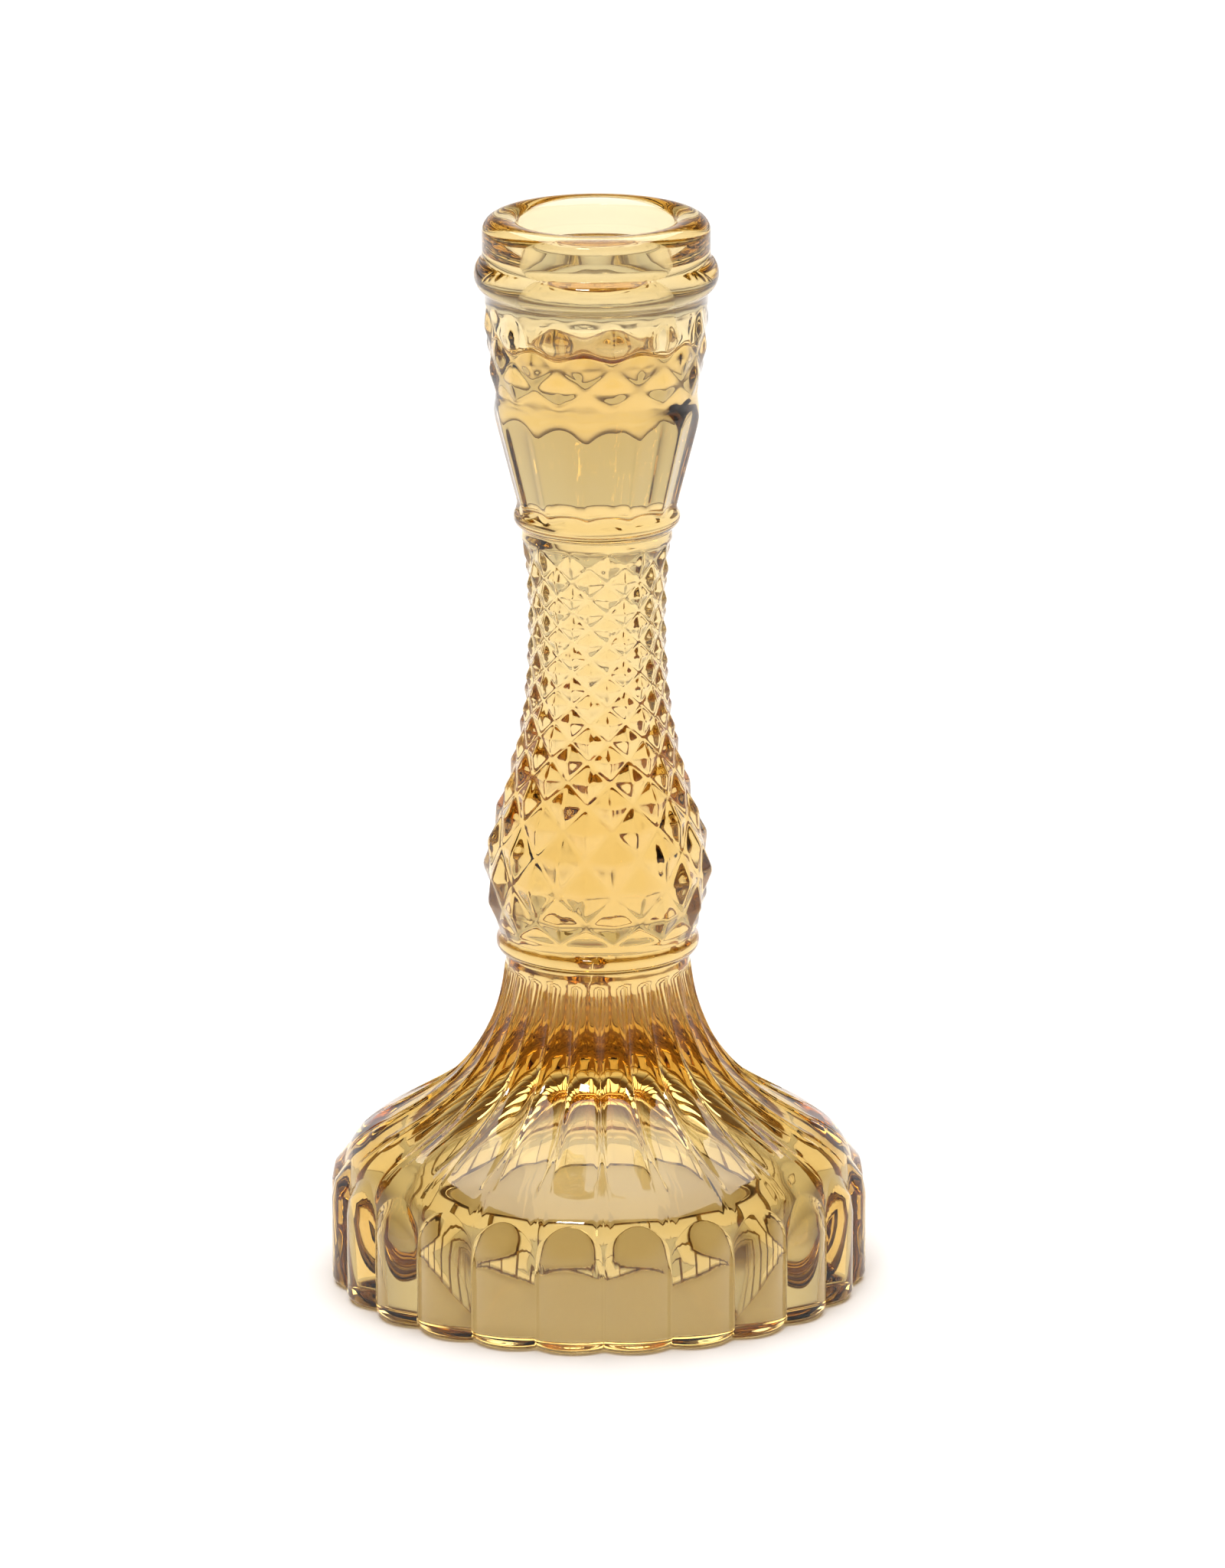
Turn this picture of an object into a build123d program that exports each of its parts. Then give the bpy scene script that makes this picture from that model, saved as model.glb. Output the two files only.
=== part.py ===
"""Pressed glass candlestick for one dinner candle.

Five glass sections stand on one axis and meet face to face: the foot, a collar, the diamond-cut
stem, a second collar and the candle socket. Millimetres and degrees, +Z up, origin at the centre
of the face that the foot stands on.
"""
from build123d import *

import os
from math import atan2, cos, degrees, radians, sin

os.makedirs("parts", exist_ok=True)

# Heights where one section meets the next
height = 165.0
socket_bottom_z = 120.0
stem_top_z = 115.8
stem_bottom_z = 54.2
foot_top_z = 49.7

# Moulded pattern: diamond columns and cup panels around, then lobes and flutes around the foot
pattern_count = 12
foot_count = 24
pattern_turn = -6.3  # from +X to the middle of a diamond column

# Candle socket
bore_r = 11.5
bore_floor_z = 145.5
bore_floor_round = 2.5
mouth_z = 163.8  # the bore starts to open out here
lip_r = 14.6  # the lip is highest on this radius
rim_r = 17.05
rim_band_top_z = 162.8
bead_r = 18.3
bead_top_z = 158.8
bead_bottom_z = 153.6
net_top = (16.7, 152.1)  # radius and height where the raised diamonds start and stop
net_bottom = (15.2, 138.3)
net_rise = 0.8
net_steps = 4
cup_top = (15.9, 135.2)
cup_bottom = (12.2, 120.9)
panel_arch_z = 136.7
panel_cut = 5.0

# Stem: (radius, height) over the points of the diamonds
stem_outline = [(14.8, stem_bottom_z), (15.4, 56), (17.1, 59.8), (17.65, 64.4), (16.9, 69.3), (15.2, 74.5),
                (13.35, 80.5), (11.9, 86.7), (11.15, 92.2), (10.7, 99), (10.75, 108), (11.35, stem_top_z)]
waist_r = 10.7
waist_row_pitch = 2.35
row_growth = 1.5  # rows grow with the stem's radius to this power
top_row_z = 113.4
row_count = 19
last_tip_z = 56.0
valley_share = 0.945  # radius of the corners between diamonds over that of their points

# Collars: a round bead over a plain ring; (radius, height) where one meets the other
upper_collar_r = 12.5
upper_ring_top = (11.2, 117.6)
lower_collar_r = 15.4
lower_ring_top = (13.6, 51.2)

# Foot: skirt and shoulder
skirt_core_r = 39.0
skirt_top_z = 14.0
foot_edge_round = 1.2
shoulder_points = [(38.9, 16.5), (38.2, 19.0), (36.7, 21.0), (34.4, 22.7), (31.8, 24.2), (28.4, 26.0)]
shoulder_clear = (26.2, 28.0)  # from here up the shoulder's blank clears the flutes
lobe_r = 7.09  # each lobe is an upright finger with a round top
lobe_axis_r = 33.85
lobe_dome_z = 13.5

# Foot: (radius, height) along the ridges between flutes, and the flute's depth over its width there
ridges = [(14.0, foot_top_z, 0.26), (14.95, 44, 0.217), (17.2, 38, 0.17), (19.9, 33.5, 0.137),
          (22.6, 30.5, 0.114), (25.7, 28, 0.11), (28.9, 26, 0.11), (32.6, 24, 0.11), (37.0, 22, 0.11),
          (42.5, 20, 0.11)]

# Hollow under the foot: a drafted wall under a vault, (radius, height)
hollow_mouth_r = 32.4
hollow_wall_top = (30.4, 9.0)
hollow_vault = [(27.6, 14.6), (21.0, 20.1), (14.0, 24.5), (7.0, 28.0), (0.0, 29.2)]

# Rounds of halving that find a radius to well under a micrometre
halvings = 30


def radius_at(curve, z):
    """Radius at height z of an edge drawn on Plane.XZ, found by halving."""
    low, high = sorted((0.0, 1.0), key=lambda end: (curve @ end).Z)
    for _ in range(halvings):
        middle = (low + high) / 2
        if (curve @ middle).Z < z:
            low = middle
        else:
            high = middle
    return (curve @ low).X


def around(radius, turn, z):
    """Point at a radius, an angle from +X and a height."""
    return (radius * cos(radians(turn)), radius * sin(radians(turn)), z)


def diamond_net(rows):
    """Closed solid of pointed diamonds, from rings of (height, radius of points, of corners, first).

    first is 0 where the points stand on the even columns of the ring and 1 on the odd ones.
    Two radii that are equal make a plain ring.
    """
    columns = 2 * pattern_count
    rings = []
    for z, point_r, corner_r, first in rows:
        radii = [point_r if column % 2 == first else corner_r for column in range(columns)]
        rings.append([around(r, pattern_turn + 180 / pattern_count * i, z) for i, r in enumerate(radii)])
    facets = [Face(Wire.make_polygon(rings[0])), Face(Wire.make_polygon(rings[-1]))]
    for k in range(len(rows) - 1):
        low, high = rings[k], rings[k + 1]
        low_is_plain = rows[k][1] == rows[k][2]
        first = 1 - rows[k + 1][3] if low_is_plain else rows[k][3]
        for i in range(columns):
            j = (i + 1) % columns
            if i % 2 == first:  # the valley runs from the lower right corner to the upper left one
                corners = [(low[i], low[j], high[i]), (high[j], high[i], low[j])]
            else:
                corners = [(low[j], high[j], low[i]), (high[i], low[i], high[j])]
            facets += [Face(Wire.make_polygon(triangle)) for triangle in corners]
    return Solid(Shell(facets))


# --- Foot -------------------------------------------------------------------------------------

with BuildPart() as lobe:
    with BuildSketch(Plane.XZ):
        with BuildLine():
            edge = Line((0, 0), (lobe_r - foot_edge_round, 0))
            corner = RadiusArc(edge @ 1, (lobe_r, foot_edge_round), -foot_edge_round)
            side = Line(corner @ 1, (lobe_r, lobe_dome_z))
            dome = RadiusArc(side @ 1, (0, lobe_dome_z + lobe_r), -lobe_r)
            Line(dome @ 1, edge @ 0)
        make_face()
    revolve(axis=Axis.Z)

with BuildPart() as fluted_flare:
    half_pitch = 180 / foot_count
    for ridge_r, z, depth_share in ridges:
        valley_r = ridge_r - depth_share * 2 * ridge_r * sin(radians(half_pitch))
        with BuildSketch(Plane.XY.offset(z)):
            with BuildLine():
                for flute in range(foot_count):
                    middle = pattern_turn + 2 * half_pitch * flute
                    ThreePointArc(
                        around(ridge_r, middle - half_pitch, 0),
                        around(valley_r, middle, 0),
                        around(ridge_r, middle + half_pitch, 0),
                    )
            make_face()
    loft()
    widest_r, lowest_z = ridges[-1][:2]
    with BuildSketch():
        Circle(widest_r)
    extrude(amount=lowest_z)

with BuildPart() as foot:
    with BuildSketch(Plane.XZ):
        with BuildLine():
            base = Line((0, 0), (skirt_core_r - foot_edge_round, 0))
            corner = RadiusArc(base @ 1, (skirt_core_r, foot_edge_round), -foot_edge_round)
            side = Line(corner @ 1, (skirt_core_r, skirt_top_z))
            shoulder = Spline(side @ 1, *shoulder_points, tangents=[(0, 1), (-0.85, 0.53)])
            Polyline(shoulder @ 1, shoulder_clear, (shoulder_clear[0], foot_top_z), (0, foot_top_z), base @ 0)
        make_face()
    revolve(axis=Axis.Z)
    add(fluted_flare.part, mode=Mode.INTERSECT)
    with PolarLocations(lobe_axis_r, foot_count, start_angle=pattern_turn):
        add(lobe.part)
    with BuildSketch(Plane.XZ):
        with BuildLine():
            wall = Line((hollow_mouth_r, 0), hollow_wall_top)
            vault = Spline(wall @ 1, *hollow_vault, tangents=[wall % 1, (-1, 0)])
            Polyline(vault @ 1, (0, 0), wall @ 0)
        make_face()
    revolve(axis=Axis.Z, mode=Mode.SUBTRACT)

# --- Lower collar -----------------------------------------------------------------------------

with BuildPart() as lower_collar:
    with BuildSketch(Plane.XZ):
        with BuildLine():
            seat = Line((0, foot_top_z), (ridges[0][0], foot_top_z))
            plain_ring = Line(seat @ 1, lower_ring_top)
            bead_middle = (lower_collar_r, (lower_ring_top[1] + stem_bottom_z) / 2)
            bead = ThreePointArc(plain_ring @ 1, bead_middle, (stem_outline[0][0], stem_bottom_z))
            Polyline(bead @ 1, (0, stem_bottom_z), seat @ 0)
        make_face()
    revolve(axis=Axis.Z)

# --- Stem -------------------------------------------------------------------------------------

with BuildLine(Plane.XZ) as stem_line:
    Spline(*stem_outline)
stem_curve = stem_line.edge()

row_heights = [top_row_z]
for _ in range(row_count - 1):
    pitch = waist_row_pitch
    for _ in range(2):  # the second pass takes the radius half a row down
        mid_r = radius_at(stem_curve, row_heights[-1] - pitch / 2)
        pitch = waist_row_pitch * (mid_r / waist_r) ** row_growth
    row_heights.append(row_heights[-1] - pitch)

stem_rows = []
for z in (stem_bottom_z, last_tip_z):
    plain_r = radius_at(stem_curve, z)
    stem_rows.append((z, plain_r, plain_r, 0))
for index in reversed(range(row_count)):
    point_r = radius_at(stem_curve, row_heights[index])
    stem_rows.append((row_heights[index], point_r, point_r * valley_share, (index + 1) % 2))
stem_rows.append((stem_top_z, stem_outline[-1][0], stem_outline[-1][0], 0))

with BuildPart() as stem:
    add(diamond_net(stem_rows))

# --- Upper collar -----------------------------------------------------------------------------

with BuildPart() as upper_collar:
    with BuildSketch(Plane.XZ):
        with BuildLine():
            seat = Line((0, stem_top_z), (stem_outline[-1][0], stem_top_z))
            plain_ring = Line(seat @ 1, upper_ring_top)
            bead_middle = (upper_collar_r, (upper_ring_top[1] + socket_bottom_z) / 2)
            bead = ThreePointArc(plain_ring @ 1, bead_middle, (cup_bottom[0], socket_bottom_z))
            Polyline(bead @ 1, (0, socket_bottom_z), seat @ 0)
        make_face()
    revolve(axis=Axis.Z)

# --- Candle socket ----------------------------------------------------------------------------

with BuildPart() as candle_socket:
    # Cup below the diamonds
    with BuildSketch(Plane.XZ):
        with BuildLine():
            cup_foot = Line((0, socket_bottom_z), (cup_bottom[0], socket_bottom_z))
            cup_base = Line(cup_foot @ 1, cup_bottom)
            cup_side = Line(cup_base @ 1, cup_top)
            cup_neck = Spline(cup_side @ 1, net_bottom, tangents=[cup_side % 1, (0, 1)])
            Polyline(cup_neck @ 1, (0, net_bottom[1]), cup_foot @ 0)
        make_face()
    revolve(axis=Axis.Z)

    # Flat panels with arched tops
    lean = degrees(atan2(cup_top[0] - cup_bottom[0], cup_top[1] - cup_bottom[1]))
    half_turn = radians(180 / pattern_count)
    panel_half_width = cup_top[0] * sin(half_turn)
    panel_top = Vector(cup_top[0] * cos(half_turn), 0, cup_top[1])
    panel_plane = Plane(panel_top, x_dir=(0, 1, 0), z_dir=(cos(radians(lean)), 0, -sin(radians(lean))))
    arch_centre_y = panel_arch_z - cup_top[1] - panel_half_width
    with BuildPart(mode=Mode.PRIVATE) as panel_cutter:
        with BuildSketch(panel_plane):
            with Locations((0, arch_centre_y)):
                Circle(panel_half_width)
                Rectangle(2 * panel_half_width, height, align=(Align.CENTER, Align.MAX))
        extrude(amount=panel_cut)
    first_panel = pattern_turn + degrees(half_turn)
    with PolarLocations(0, pattern_count, start_angle=first_panel):
        add(panel_cutter.part, mode=Mode.SUBTRACT)

    # Raised diamonds, three rows between two plain rings
    net_pitch = (net_top[1] - net_bottom[1]) / net_steps
    net_rows = []
    for row in range(net_steps + 1):
        share = row / net_steps
        plain_r = net_bottom[0] + share * (net_top[0] - net_bottom[0])
        rise = net_rise if 0 < row < net_steps else 0
        net_rows.append((net_bottom[1] + row * net_pitch, plain_r + rise, plain_r, row % 2))
    add(diamond_net(net_rows))

    # Bead, rim band and lip
    with BuildSketch(Plane.XZ):
        with BuildLine():
            neck_foot = Line((0, net_top[1]), net_top)
            neck = Line(neck_foot @ 1, (net_top[0], bead_bottom_z))
            bead_middle = (bead_r, (bead_bottom_z + bead_top_z) / 2)
            bead = ThreePointArc(neck @ 1, bead_middle, (rim_r, bead_top_z))
            rim_band = Line(bead @ 1, (rim_r, rim_band_top_z))
            lip_centre = (lip_r, rim_band_top_z)
            lip_outside = EllipticalCenterArc(lip_centre, rim_r - lip_r, height - rim_band_top_z, arc_size=90)
            Polyline(lip_outside @ 1, (0, height), neck_foot @ 0)
        make_face()
    revolve(axis=Axis.Z)

    # Candle bore with a rounded mouth and a rounded floor
    with BuildSketch(Plane.XZ):
        with BuildLine():
            mouth_top = Line((0, height), (lip_r, height))
            mouth = EllipticalCenterArc((lip_r, mouth_z), lip_r - bore_r, height - mouth_z, 90, arc_size=90)
            wall = Line(mouth @ 1, (bore_r, bore_floor_z + bore_floor_round))
            heel = RadiusArc(wall @ 1, (bore_r - bore_floor_round, bore_floor_z), bore_floor_round)
            Polyline(heel @ 1, (0, bore_floor_z), mouth_top @ 0)
        make_face()
    revolve(axis=Axis.Z, mode=Mode.SUBTRACT)

# --- Labels and files -------------------------------------------------------------------------

foot.part.label = "foot"
export_step(foot.part, "parts/foot.step")

lower_collar.part.label = "lower_collar"
export_step(lower_collar.part, "parts/lower_collar.step")

stem.part.label = "stem"
export_step(stem.part, "parts/stem.step")

upper_collar.part.label = "upper_collar"
export_step(upper_collar.part, "parts/upper_collar.step")

candle_socket.part.label = "candle_socket"
export_step(candle_socket.part, "parts/candle_socket.step")
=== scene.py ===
"""Amber pressed-glass candlestick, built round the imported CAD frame.

The glass is one continuous closed skin: rings of points run from the middle of the bore's floor, up
over the lip, down the outside and up into the hollow under the foot. Lengths are millimetres until
the skin becomes a mesh.
"""
import math

import bpy
import numpy as np
from mathutils import Matrix, Vector


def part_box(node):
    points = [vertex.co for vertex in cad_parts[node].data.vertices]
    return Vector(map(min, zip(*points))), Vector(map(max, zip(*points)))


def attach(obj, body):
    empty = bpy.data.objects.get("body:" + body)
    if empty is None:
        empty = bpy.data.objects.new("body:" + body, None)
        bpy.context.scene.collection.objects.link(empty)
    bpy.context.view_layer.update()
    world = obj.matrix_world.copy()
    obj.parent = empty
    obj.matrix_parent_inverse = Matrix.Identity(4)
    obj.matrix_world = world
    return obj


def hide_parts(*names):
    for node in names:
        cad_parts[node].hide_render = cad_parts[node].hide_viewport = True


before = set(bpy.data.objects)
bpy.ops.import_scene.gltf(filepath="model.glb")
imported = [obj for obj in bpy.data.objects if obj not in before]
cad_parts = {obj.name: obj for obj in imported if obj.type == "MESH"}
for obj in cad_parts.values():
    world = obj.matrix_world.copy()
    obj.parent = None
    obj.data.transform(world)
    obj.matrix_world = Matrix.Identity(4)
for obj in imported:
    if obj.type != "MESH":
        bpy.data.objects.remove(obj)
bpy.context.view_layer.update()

MM = 0.001

# Heights of the sections, from the frame
SOCKET_LOW, SOCKET_HIGH = (corner[2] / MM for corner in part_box("candle_socket"))
STEM_LOW, STEM_HIGH = (corner[2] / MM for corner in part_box("stem"))
FOOT_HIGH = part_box("foot")[1][2] / MM

# Moulded pattern
PATTERN = 12            # diamond columns and cup panels around
LOBES = 24              # lobes and flutes around the foot
TURN = math.radians(-6.3)   # from +X to the middle of a diamond column
CELL = 8                # mesh columns across half a diamond
UPPER_COLUMNS = 2 * PATTERN * CELL
FOOT_COLUMNS = 2 * UPPER_COLUMNS
CROWDING = 0.85         # how strongly the foot's mesh columns crowd towards the ridges

SOCKET_SOFTENING = 3    # rounds of smoothing over the diamonds of the socket
PANEL_SOFTENING = 3     # over the panels of the cup
STEM_SOFTENING = 1      # over the diamonds of the stem

# Candle socket
BORE_R = 11.5
BORE_FLOOR_Z = 145.5
BORE_FLOOR_ROUND = 2.5
MOUTH_Z = 163.8
LIP_R = 14.6
RIM_R = 17.05
RIM_BAND_TOP_Z = 162.8
BEAD_R = 18.3
BEAD_TOP_Z = 158.8
BEAD_BOTTOM_Z = 153.6
NET_TOP = (16.7, 152.1)
NET_BOTTOM = (15.2, 138.3)
NET_ROWS = 4
NET_RISE = 0.8          # how far a diamond's point stands out
NECK = [(15.15, 137.3), (15.35, 136.2), (15.55, 135.0), (15.45, 134.0), (15.2, 133.0)]
NECK_RINGS = 8
ARCH_RANGE = (132.0, NET_BOTTOM[1])     # the panels' arched tops lie between these heights
CUP_TOP = (15.9, 135.2)
CUP_BOTTOM = (12.2, 120.9)
PANEL_HOLLOW = 0.3      # how far a cup panel dips behind a flat one
PANEL_RINGS = 14

# Stem
STEM_OUTLINE = [(14.8, 54.2), (15.4, 56), (17.1, 59.8), (17.65, 64.4), (16.9, 69.3), (15.2, 74.5),
                (13.35, 80.5), (11.9, 86.7), (11.15, 92.2), (10.7, 99), (10.75, 108), (11.35, 115.8)]
WAIST_R = 10.7
WAIST_ROW_PITCH = 2.35
ROW_GROWTH = 1.5        # how strongly the rows spread where the stem is wider
TOP_ROW_Z = 113.4
ROWS = 19
LAST_TIP_Z = 56.0
VALLEY_SHARE = 0.93     # radius at the corners of a diamond against that at its point

# Collars: a round bead over a plain ring
UPPER_COLLAR_R = 12.5
UPPER_RING = (11.2, 117.6)
LOWER_COLLAR_R = 15.4
LOWER_RING = (13.6, 51.2)

# Foot
CORE_R = 39.0
EDGE_ROUND = 1.2
SHOULDER = [(CORE_R, 8), (CORE_R, 11), (CORE_R, 14), (38.9, 16.5), (38.2, 19.0), (36.7, 21.0),
            (34.4, 22.7), (31.8, 24.2), (28.4, 26.0), (25.2, 28.0)]
SPOON_RANGE = (20.5, 28.0)      # the flutes' round ends lie between these heights
LOBE_TOP_RANGE = (8.0, 20.0)    # and the lobes' round tops between these
LOBE_R = 7.09
LOBE_AXIS_R = 33.85
LOBE_DOME_Z = 13.5
RIDGE = [(14.0, 49.7), (14.95, 44), (17.2, 38), (19.9, 33.5), (22.6, 30.5), (25.7, 28), (28.9, 26),
         (32.6, 24), (37.0, 22), (42.5, 20)]
FLUTE_DEPTH_SHARE = (0.11, 0.26)    # depth against width, at the round ends and at the collar
FLUTE_SHALLOW_Z = 30.0      # below this height the share stays at its first value
FLUTE_FLATNESS = 3.0        # 2 is a plain curve, more flattens the middle
FLUTE_RINGS = 33
FLUTE_RING_SPACING = 0.9    # under 1 the rings lie closer towards the round ends
SHOULDER_RINGS = 14
LOBE_RINGS = 12
EDGE_RINGS = 5
HALVINGS = 40               # steps of the search for the height where two surfaces meet

# Hollow under the foot: corners, rounded off by smoothing
HOLLOW = [(32.4, 0), (30.2, 10), (27.5, 15), (21, 20.3), (14, 24.6), (7, 28.3), (0.3, 29.2)]
HOLLOW_STEP = 0.5
HOLLOW_SMOOTHING = 12
HOLLOW_BEVEL = (0.4, 0.15)     # width and height, at the inner edge of the standing ring

# Glass
SURFACE_TINT = (0.90, 0.855, 0.71, 1)
DEPTH_TINT = (0.89, 0.71, 0.18, 1)
DEPTH_DENSITY = 60.0
GLASS_IOR = 1.5

# Studio, in metres except where marked
HORIZON = (0.89, 0.89, 0.90, 1)     # the room at eye level
ZENITH = (0.17, 0.105, 0.055, 1)    # and overhead, darker and tinted brown
ZENITH_START = 0.42     # upward part of the view direction from which the room is all ZENITH
PAPER = (0.9, 0.9, 0.9, 1)
PAPER_ROUGHNESS = 0.9
FLOOR_REACH = 6.0
FLOOR_GAP = 0.2         # mm of air under the glass, so that its underside reflects as real glass does
MIX_FACTOR, MIX_A, MIX_B, MIX_OUT = 0, 6, 7, 2      # colour sockets, whose names are not unique

# Camera, in metres and degrees; the lens in millimetres
EYE = (0.00227, -1.5, 0.5084)
AIM = (0.00227, 0, 0.0771)
ROLL = -0.1
LENS = 237.4
SENSOR = 36
CLIP_END = 50


# --- Curves -----------------------------------------------------------------------------------

def natural_spline(xs, ys):
    """Function through the points (xs rising) with smooth first and second derivatives."""
    xs, ys = np.asarray(xs, float), np.asarray(ys, float)
    step = np.diff(xs)
    count = len(xs)
    system, right = np.eye(count), np.zeros(count)
    for i in range(1, count - 1):
        system[i, i - 1:i + 2] = step[i - 1], 2 * (step[i - 1] + step[i]), step[i]
        right[i] = 6 * ((ys[i + 1] - ys[i]) / step[i] - (ys[i] - ys[i - 1]) / step[i - 1])
    bend = np.linalg.solve(system, right)

    def value(x):
        x = np.clip(x, xs[0], xs[-1])
        i = np.clip(np.searchsorted(xs, x, side="right") - 1, 0, count - 2)
        left, rest, h = x - xs[i], xs[i + 1] - x, step[i]
        return (bend[i] * rest ** 3 + bend[i + 1] * left ** 3) / (6 * h) \
            + (ys[i] / h - bend[i] * h / 6) * rest + (ys[i + 1] / h - bend[i + 1] * h / 6) * left
    return value


def radius_curve(points):
    """Radius as a function of height, through (radius, height) points."""
    rising = sorted(points, key=lambda point: point[1])
    return natural_spline([p[1] for p in rising], [p[0] for p in rising])


def line(start, end, count):
    """Points on the straight line between two points, start left out."""
    (x0, y0), (x1, y1) = start, end
    return [(x0 + (x1 - x0) * k / count, y0 + (y1 - y0) * k / count) for k in range(1, count + 1)]


def arc(start, end, middle, count):
    """Points on the circle through three (radius, height) points, start left out."""
    (ax, ay), (bx, by), (cx, cy) = start, middle, end
    d = 2 * (ax * (by - cy) + bx * (cy - ay) + cx * (ay - by))
    aa, bb, cc = ax ** 2 + ay ** 2, bx ** 2 + by ** 2, cx ** 2 + cy ** 2
    ux = (aa * (by - cy) + bb * (cy - ay) + cc * (ay - by)) / d
    uy = (aa * (cx - bx) + bb * (ax - cx) + cc * (bx - ax)) / d
    r = math.hypot(ax - ux, ay - uy)
    a0, a1, a2 = (math.atan2(y - uy, x - ux) for x, y in (start, middle, end))
    turn = (a2 - a0) % (2 * math.pi)
    if (a1 - a0) % (2 * math.pi) > turn:
        turn -= 2 * math.pi
    return [(ux + r * math.cos(a0 + turn * k / count), uy + r * math.sin(a0 + turn * k / count))
            for k in range(1, count + 1)]


def ellipse_quarter(start, end, upright_first, count):
    """Quarter ellipse between two points, start left out, upright at the start or at the end."""
    (x0, y0), (x1, y1) = start, end
    points = []
    for k in range(1, count + 1):
        t = math.pi / 2 * k / count
        if upright_first:
            points.append((x1 + (x0 - x1) * math.cos(t), y0 + (y1 - y0) * math.sin(t)))
        else:
            points.append((x0 + (x1 - x0) * math.sin(t), y1 + (y0 - y1) * math.cos(t)))
    return points


def shares(count):
    """Even steps up to 1, 0 left out."""
    return np.linspace(0, 1, count + 1)[1:]


def crossing(heights, below, columns):
    """Height in each column up to which below(z) holds, found by halving."""
    low, high = (np.full(columns, z) for z in heights)
    for _ in range(HALVINGS):
        middle = (low + high) / 2
        is_below = below(middle)
        low, high = np.where(is_below, middle, low), np.where(is_below, high, middle)
    return low


# --- Skin -------------------------------------------------------------------------------------

def turns(columns):
    """Angle of each mesh column; a diamond column stands on the first one.

    Round the foot the columns crowd towards the ridges between the flutes.
    """
    even = np.arange(columns) / columns
    if columns == FOOT_COLUMNS:
        place = (even * LOBES + 0.5) % 1 - 0.5
        even = even + (np.sin(math.pi * place) / 2 - place) * CROWDING / LOBES
    return TURN + 2 * math.pi * even


def ring(radius, height, columns):
    """Points of one ring; radius and height may change round it."""
    turn = turns(columns)
    return np.stack([radius * np.cos(turn), radius * np.sin(turn), height + np.zeros(columns)], -1)


def lathe(outline, columns):
    """One ring for each (radius, height) point."""
    return [ring(r, z, columns) for r, z in outline]


class Skin:
    """Collects rings into one closed mesh, with a fan of triangles at each end."""

    def __init__(self, start_point):
        self.points = [np.array([start_point], float)]
        self.count = 1
        self.faces = []
        self.last = None

    def add(self, rings, slants=None):
        """Joins rings on; slants says, for each cell of each strip, which diagonal is a crease."""
        for k, points in enumerate(rings):
            start, columns = self.count, len(points)
            self.points.append(points)
            self.count += columns
            here = np.arange(start, start + columns)
            if self.last is None:
                self.faces += [(0, a, b) for a, b in zip(here, np.roll(here, -1))]
            elif columns == len(self.last):
                slant = None if slants is None else slants[k]
                self._strip(self.last, here, slant)
            else:
                self._double(self.last, here)
            self.last = here

    def _strip(self, above, below, slant):
        above_next, below_next = np.roll(above, -1), np.roll(below, -1)
        if slant is None:
            self.faces += list(zip(above, below, below_next, above_next))
            return
        for a, an, bn, b, falling in zip(above, above_next, below_next, below, slant):
            if falling:
                self.faces += [(a, bn, an), (a, b, bn)]
            else:
                self.faces += [(a, b, an), (an, b, bn)]

    def _double(self, above, below):
        """Joins a ring to one with twice the columns, or half."""
        wide, narrow = (above, below) if len(above) > len(below) else (below, above)
        flip = wide is above
        for i in range(len(narrow)):
            n0, n1 = narrow[i], narrow[(i + 1) % len(narrow)]
            w0, w1, w2 = wide[2 * i], wide[2 * i + 1], wide[(2 * i + 2) % len(wide)]
            fan = [(n0, w1, w0), (n0, n1, w1), (n1, w2, w1)]
            self.faces += fan if flip else [tuple(reversed(f)) for f in fan]

    def close(self, end_point):
        self.points.append(np.array([end_point], float))
        self.faces += [(b, a, self.count) for a, b in zip(self.last, np.roll(self.last, -1))]
        self.count += 1

    def mesh(self, name):
        data = bpy.data.meshes.new(name)
        points = np.concatenate(self.points) * MM
        data.from_pydata(points.tolist(), [], [tuple(int(i) for i in face) for face in self.faces])
        data.validate()
        data.polygons.foreach_set("use_smooth", [True] * len(data.polygons))
        return data


def soften(rings, rounds):
    """Rounds every crease of a patch of rings a little, as the heat of the mould leaves it."""
    patch = np.array(rings)
    for _ in range(rounds):
        patch = patch / 2 + (np.roll(patch, 1, 1) + np.roll(patch, -1, 1)) / 4
        patch[1:-1] = patch[1:-1] / 2 + (patch[:-2] + patch[2:]) / 4
    return list(patch)


# --- Diamond net ------------------------------------------------------------------------------

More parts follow.
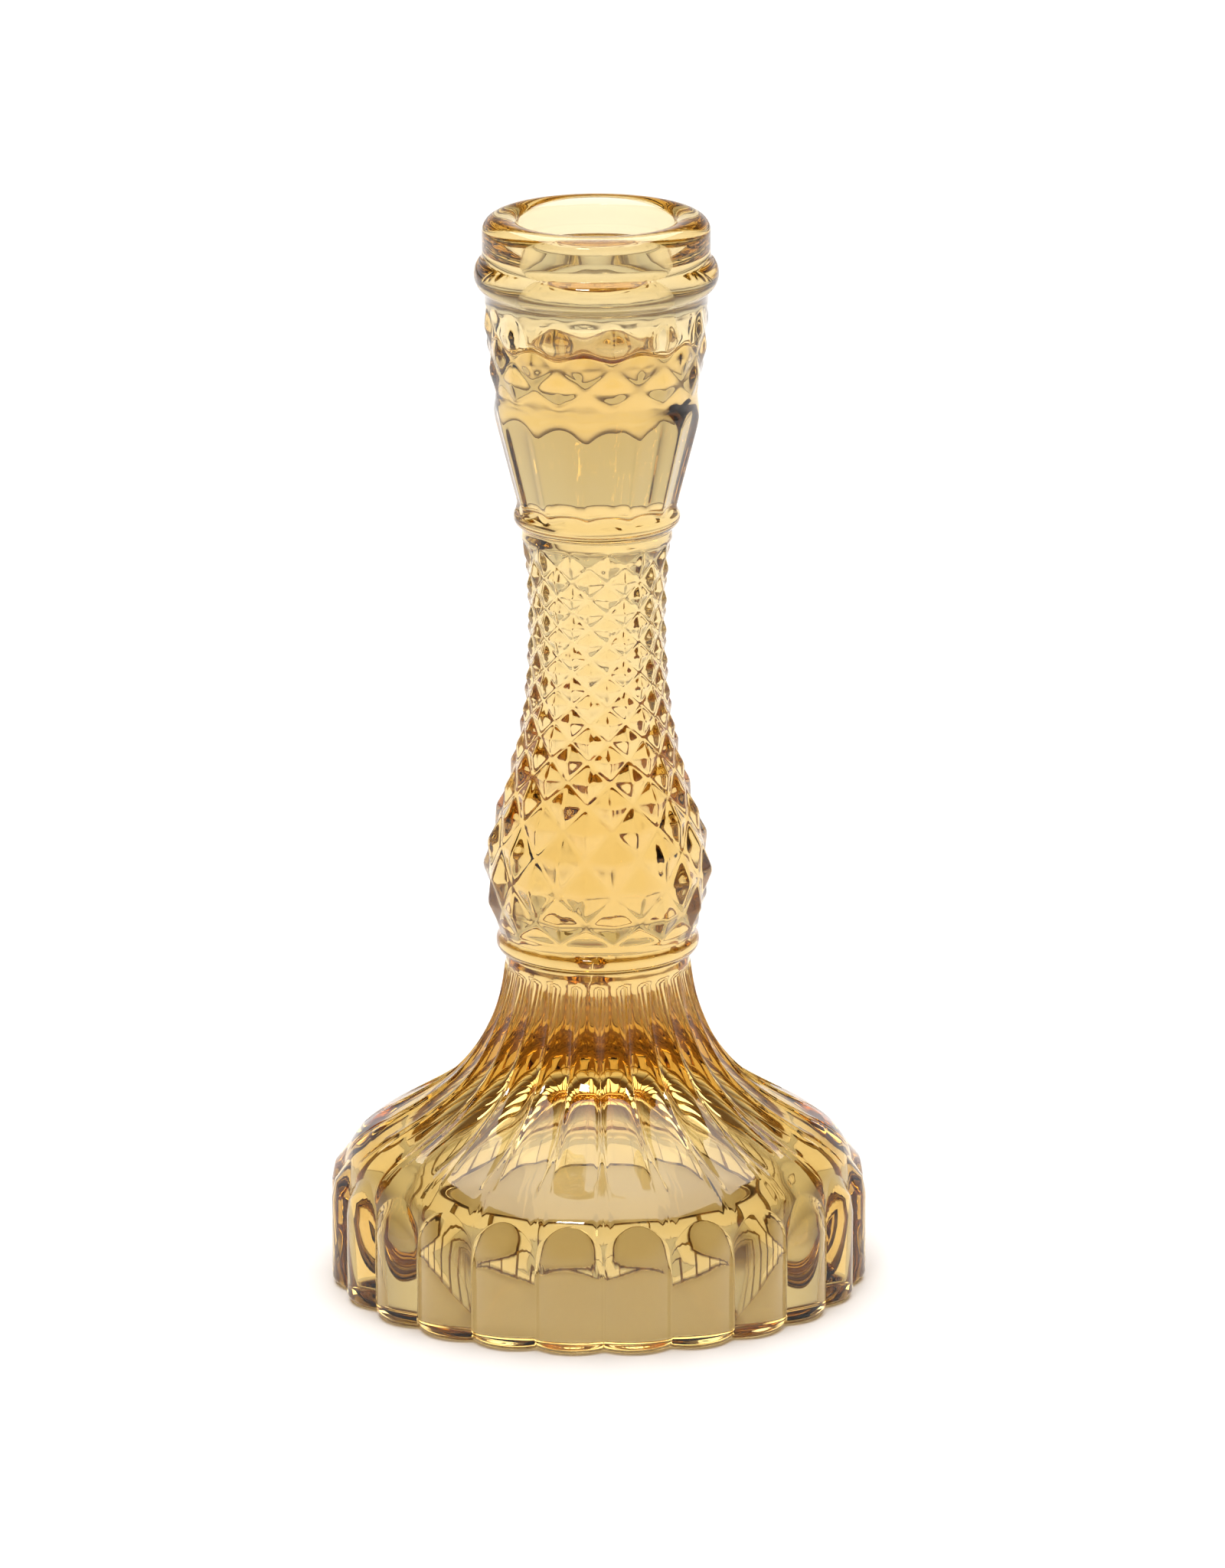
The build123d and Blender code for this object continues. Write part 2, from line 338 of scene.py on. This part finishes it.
def diamond_net(rows, rounds):
    """Rings and creases of a net of flat-sided diamonds.

    rows runs downwards: (height, radius of points, radius of corners, first), where first is 0 if
    the points stand on the even half-columns and 1 on the odd ones. Equal radii make a plain ring.
    The first ring is left out. rounds is for soften.
    """
    half_columns = 2 * PATTERN
    corners = []
    for z, point_r, corner_r, first in rows:
        radii = np.array([point_r if i % 2 == first else corner_r for i in range(half_columns)])
        corners.append(ring(radii, z, half_columns))
    x = np.tile(np.arange(CELL) / CELL, half_columns)
    cell = np.repeat(np.arange(half_columns), CELL)
    next_cell = (cell + 1) % half_columns
    rings, slants = [], []
    for k in range(len(rows) - 1):
        upper_is_plain = rows[k][1] == rows[k][2]
        first = 1 - rows[k + 1][3] if upper_is_plain else rows[k][3]
        point_left = cell % 2 == first   # the upper point of this cell stands at its left
        across = np.where(point_left, x, 1 - x)
        near = np.where(point_left, cell, next_cell)
        far = np.where(point_left, next_cell, cell)
        for step in range(1, CELL + 1):
            y = step / CELL
            upper_part = across + y <= 1
            weight = np.abs(1 - across - y)[:, None]
            a = np.where(upper_part, across, 1 - y)[:, None]
            b = np.where(upper_part, y, 1 - across)[:, None]
            peak = np.where(upper_part[:, None], corners[k][near], corners[k + 1][far])
            rings.append(weight * peak + a * corners[k][far] + b * corners[k + 1][near])
            slants.append(~point_left)
    return soften(rings, rounds), slants


# --- Sections, from the bore down -------------------------------------------------------------

def bore_outline():
    """From the middle of the floor up the wall and over the mouth to the top of the lip."""
    floor_edge = (BORE_R - BORE_FLOOR_ROUND, BORE_FLOOR_Z)
    wall_foot = (BORE_R, BORE_FLOOR_Z + BORE_FLOOR_ROUND)
    mouth = (BORE_R, MOUTH_Z)
    outline = line((0, BORE_FLOOR_Z), floor_edge, count=4)
    outline += ellipse_quarter(floor_edge, wall_foot, upright_first=False, count=6)
    outline += line(wall_foot, mouth, count=3)
    return outline + ellipse_quarter(mouth, (LIP_R, SOCKET_HIGH), upright_first=True, count=8)


def rim_outline():
    """From the top of the lip down the outside to the diamonds."""
    outline = ellipse_quarter((LIP_R, SOCKET_HIGH), (RIM_R, RIM_BAND_TOP_Z), upright_first=False, count=8)
    outline += line((RIM_R, RIM_BAND_TOP_Z), (RIM_R, BEAD_TOP_Z), count=3)
    bead_middle = (BEAD_R, (BEAD_TOP_Z + BEAD_BOTTOM_Z) / 2)
    outline += arc((RIM_R, BEAD_TOP_Z), (NET_TOP[0], BEAD_BOTTOM_Z), bead_middle, count=16)
    return outline + [NET_TOP]


def socket_net():
    """Band of raised diamonds between two plain edges."""
    rows = []
    for row in range(NET_ROWS + 1):
        share = row / NET_ROWS
        z = NET_TOP[1] + share * (NET_BOTTOM[1] - NET_TOP[1])
        plain_r = NET_TOP[0] + share * (NET_BOTTOM[0] - NET_TOP[0])
        rise = NET_RISE if 0 < row < NET_ROWS else 0
        rows.append((z, plain_r + rise, plain_r, row % 2))
    return diamond_net(rows, SOCKET_SOFTENING)


def cup():
    """Neck under the diamonds and twelve panels whose tops are arches."""
    columns = UPPER_COLUMNS
    pitch = 2 * math.pi / PATTERN
    turn = turns(columns) - TURN
    off_centre = np.abs((turn % pitch) - pitch / 2)  # panels stand between the first columns
    slope = (CUP_TOP[0] - CUP_BOTTOM[0]) / (CUP_TOP[1] - CUP_BOTTOM[1])
    neck_r = radius_curve([NET_BOTTOM] + NECK)

    def panel_r(z):
        edge_r = CUP_BOTTOM[0] + slope * (z - CUP_BOTTOM[1])
        dip = PANEL_HOLLOW * (1 - (2 * off_centre / pitch) ** 2)
        return edge_r * math.cos(pitch / 2) / np.cos(off_centre) - dip

    arch_z = crossing(ARCH_RANGE, lambda z: panel_r(z) < neck_r(z), columns)
    rings = []
    for share in shares(NECK_RINGS):
        z = NET_BOTTOM[1] + (arch_z - NET_BOTTOM[1]) * share
        rings.append(ring(neck_r(z), z, columns))
    for share in shares(PANEL_RINGS):
        z = arch_z + (CUP_BOTTOM[1] - arch_z) * share
        rings.append(ring(panel_r(z), z, columns))
    return soften(rings, PANEL_SOFTENING)


def collar_outline(top, ring_top, bottom, bead_r):
    """A bead from top to ring_top, then a plain ring down to bottom."""
    bead_middle = (bead_r, (top[1] + ring_top[1]) / 2)
    return arc(top, ring_top, bead_middle, count=8) + line(ring_top, bottom, count=3)


def stem_net():
    """Net of pointed diamonds whose rows spread over the bulb."""
    curve = radius_curve(STEM_OUTLINE)
    heights = [TOP_ROW_Z]
    for _ in range(ROWS - 1):
        pitch = WAIST_ROW_PITCH
        for _ in range(2):  # the second pass takes the radius half a row down
            pitch = WAIST_ROW_PITCH * (curve(heights[-1] - pitch / 2) / WAIST_R) ** ROW_GROWTH
        heights.append(heights[-1] - pitch)
    rows = [(STEM_HIGH, STEM_OUTLINE[-1][0], STEM_OUTLINE[-1][0], 0)]
    for index, z in enumerate(heights):
        point_r = curve(z)
        rows.append((z, point_r, point_r * VALLEY_SHARE, (index + 1) % 2))
    rows += [(z, curve(z), curve(z), 0) for z in (LAST_TIP_Z, STEM_LOW)]
    return diamond_net(rows, STEM_SOFTENING)


def foot():
    """Flutes with round ends, a smooth shoulder, and lobes with round tops."""
    columns = FOOT_COLUMNS
    pitch = 2 * math.pi / LOBES
    turn = turns(columns) - TURN
    off = (turn + pitch / 2) % pitch - pitch / 2      # 0 in the middle of a lobe or a flute
    across = np.abs(off) * 2 / pitch
    ridge_r = radius_curve(RIDGE)
    shoulder_r = radius_curve(SHOULDER)

    def flute_r(z):
        r = ridge_r(z)
        share = np.interp(z, (FLUTE_SHALLOW_Z, FOOT_HIGH), FLUTE_DEPTH_SHARE)
        depth = share * 2 * r * math.sin(pitch / 2)
        return r - depth * (1 - across ** FLUTE_FLATNESS)

    def lobe_r(z):
        rise = np.maximum(z - LOBE_DOME_Z, 0)
        reach = np.maximum(LOBE_R ** 2 - rise ** 2 - (LOBE_AXIS_R * np.sin(off)) ** 2, 0)
        return LOBE_AXIS_R * np.cos(off) + np.sqrt(reach)

    spoon_z = crossing(SPOON_RANGE, lambda z: shoulder_r(z) < flute_r(z), columns)
    lobe_top_z = crossing(LOBE_TOP_RANGE, lambda z: shoulder_r(z) < lobe_r(z), columns)
    rings = []
    for share in shares(FLUTE_RINGS):
        z = FOOT_HIGH + (spoon_z - FOOT_HIGH) * share ** FLUTE_RING_SPACING
        rings.append(ring(flute_r(z), z, columns))
    for share in shares(SHOULDER_RINGS):
        z = spoon_z + (lobe_top_z - spoon_z) * share
        rings.append(ring(shoulder_r(z), z, columns))
    for share in (1 - np.linspace(1, 0, LOBE_RINGS + 1) ** 2)[1:]:
        z = EDGE_ROUND + (lobe_top_z - EDGE_ROUND) * (1 - share)
        rings.append(ring(lobe_r(z), z, columns))
    for k in range(1, EDGE_RINGS + 1):
        t = math.pi / 2 * k / EDGE_RINGS
        z = EDGE_ROUND * (1 - math.sin(t))
        rings.append(ring(lobe_r(0) - EDGE_ROUND * (1 - math.cos(t)), z, columns))
    return rings


def hollow_outline():
    """From the standing ring over its inner edge to the top of the hollow."""
    corners = np.array(HOLLOW, float)
    length = np.concatenate([[0], np.cumsum(np.hypot(*np.diff(corners, axis=0).T))])
    along = np.linspace(0, length[-1], int(length[-1] / HOLLOW_STEP))
    outline = np.stack([np.interp(along, length, corners[:, k]) for k in (0, 1)], -1)
    for _ in range(HOLLOW_SMOOTHING):
        outline[1:-1] = outline[1:-1] / 2 + (outline[:-2] + outline[2:]) / 4
    mouth_r = HOLLOW[0][0]
    bevel_width, bevel_height = HOLLOW_BEVEL
    standing_ring = [((CORE_R + mouth_r) / 2, 0), (mouth_r + bevel_width, 0)]
    return standing_ring + [(r, max(z, bevel_height)) for r, z in outline]


def glass_skin():
    cup_end, stem_start = (CUP_BOTTOM[0], SOCKET_LOW), (STEM_OUTLINE[-1][0], STEM_HIGH)
    stem_end, foot_start = (STEM_OUTLINE[0][0], STEM_LOW), (RIDGE[0][0], FOOT_HIGH)
    skin = Skin((0, 0, BORE_FLOOR_Z))
    skin.add(lathe(bore_outline(), UPPER_COLUMNS))
    skin.add(lathe(rim_outline(), UPPER_COLUMNS))
    skin.add(*socket_net())
    skin.add(cup())
    skin.add(lathe([cup_end], UPPER_COLUMNS))
    skin.add(lathe(collar_outline(cup_end, UPPER_RING, stem_start, UPPER_COLLAR_R), UPPER_COLUMNS))
    skin.add(*stem_net())
    skin.add(lathe(collar_outline(stem_end, LOWER_RING, foot_start, LOWER_COLLAR_R), UPPER_COLUMNS))
    skin.add(foot())
    skin.add(lathe(hollow_outline(), UPPER_COLUMNS))
    skin.close((0, 0, HOLLOW[-1][1]))
    return skin.mesh("glass_body")


# --- Material ---------------------------------------------------------------------------------

def amber_glass():
    material = bpy.data.materials.new("amber_glass")
    material.use_nodes = True
    nodes, links = material.node_tree.nodes, material.node_tree.links
    shader = nodes["Principled BSDF"]
    shader.inputs["Base Color"].default_value = SURFACE_TINT
    shader.inputs["Roughness"].default_value = 0.0
    shader.inputs["IOR"].default_value = GLASS_IOR
    shader.inputs["Transmission Weight"].default_value = 1.0
    depth = nodes.new("ShaderNodeVolumeAbsorption")
    depth.inputs["Color"].default_value = DEPTH_TINT
    depth.inputs["Density"].default_value = DEPTH_DENSITY
    links.new(depth.outputs["Volume"], nodes["Material Output"].inputs["Volume"])
    return material


# --- Studio -----------------------------------------------------------------------------------

def studio():
    floor_mesh = bpy.data.meshes.new("floor")
    level = -FLOOR_GAP * MM
    corners = [(x * FLOOR_REACH, y * FLOOR_REACH, level) for x, y in ((-1, -1), (1, -1), (1, 1), (-1, 1))]
    floor_mesh.from_pydata(corners, [], [(0, 1, 2, 3)])
    floor = bpy.data.objects.new("floor", floor_mesh)
    bpy.context.collection.objects.link(floor)
    paper = bpy.data.materials.new("white_paper")
    paper.use_nodes = True
    shader = paper.node_tree.nodes["Principled BSDF"]
    shader.inputs["Base Color"].default_value = PAPER
    shader.inputs["Roughness"].default_value = PAPER_ROUGHNESS
    floor_mesh.materials.append(paper)

    world = bpy.data.worlds.new("studio")
    world.use_nodes = True
    nodes, links = world.node_tree.nodes, world.node_tree.links
    direction = nodes.new("ShaderNodeTexCoord")
    parted = nodes.new("ShaderNodeSeparateXYZ")
    rise = nodes.new("ShaderNodeMapRange")
    rise.interpolation_type = "SMOOTHSTEP"
    rise.inputs["From Max"].default_value = ZENITH_START
    shade = nodes.new("ShaderNodeMix")
    shade.data_type = "RGBA"
    links.new(direction.outputs["Generated"], parted.inputs["Vector"])
    links.new(parted.outputs["Z"], rise.inputs["Value"])
    links.new(rise.outputs["Result"], shade.inputs[MIX_FACTOR])
    shade.inputs[MIX_A].default_value = HORIZON
    shade.inputs[MIX_B].default_value = ZENITH
    links.new(shade.outputs[MIX_OUT], nodes["Background"].inputs["Color"])
    bpy.context.scene.world = world

    def softbox(name, place, aim, size, power):
        light = bpy.data.lights.new(name, "AREA")
        light.shape = "RECTANGLE"
        light.size, light.size_y = size
        light.energy = power
        lamp = bpy.data.objects.new(name, light)
        lamp.location = place
        lamp.rotation_euler = (Vector(aim) - Vector(place)).to_track_quat("-Z", "Y").to_euler()
        bpy.context.collection.objects.link(lamp)

    softbox("overhead", place=(0, 0.4, 1.7), aim=(0, 0.4, 0), size=(2.0, 2.8), power=58)
    softbox("key", place=(-0.25, -0.9, 1.1), aim=(0, 0, 0.1), size=(0.25, 0.12), power=3)


def camera():
    lens = bpy.data.cameras.new("camera")
    lens.lens = LENS
    lens.sensor_width = SENSOR
    eye = bpy.data.objects.new("camera", lens)
    eye.location = EYE
    look = Vector(AIM) - eye.location
    roll = Matrix.Rotation(math.radians(ROLL), 3, "Z")
    eye.rotation_euler = (look.to_track_quat("-Z", "Y").to_matrix() @ roll).to_euler()
    lens.clip_end = CLIP_END
    bpy.context.collection.objects.link(eye)
    bpy.context.scene.camera = eye


glass = bpy.data.objects.new("glass_body", glass_skin())
bpy.context.collection.objects.link(glass)
glass.data.materials.append(amber_glass())
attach(glass, "root")
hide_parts("candle_socket", "upper_collar", "stem", "lower_collar", "foot")

studio()
camera()
bpy.context.scene.view_settings.view_transform = "Standard"
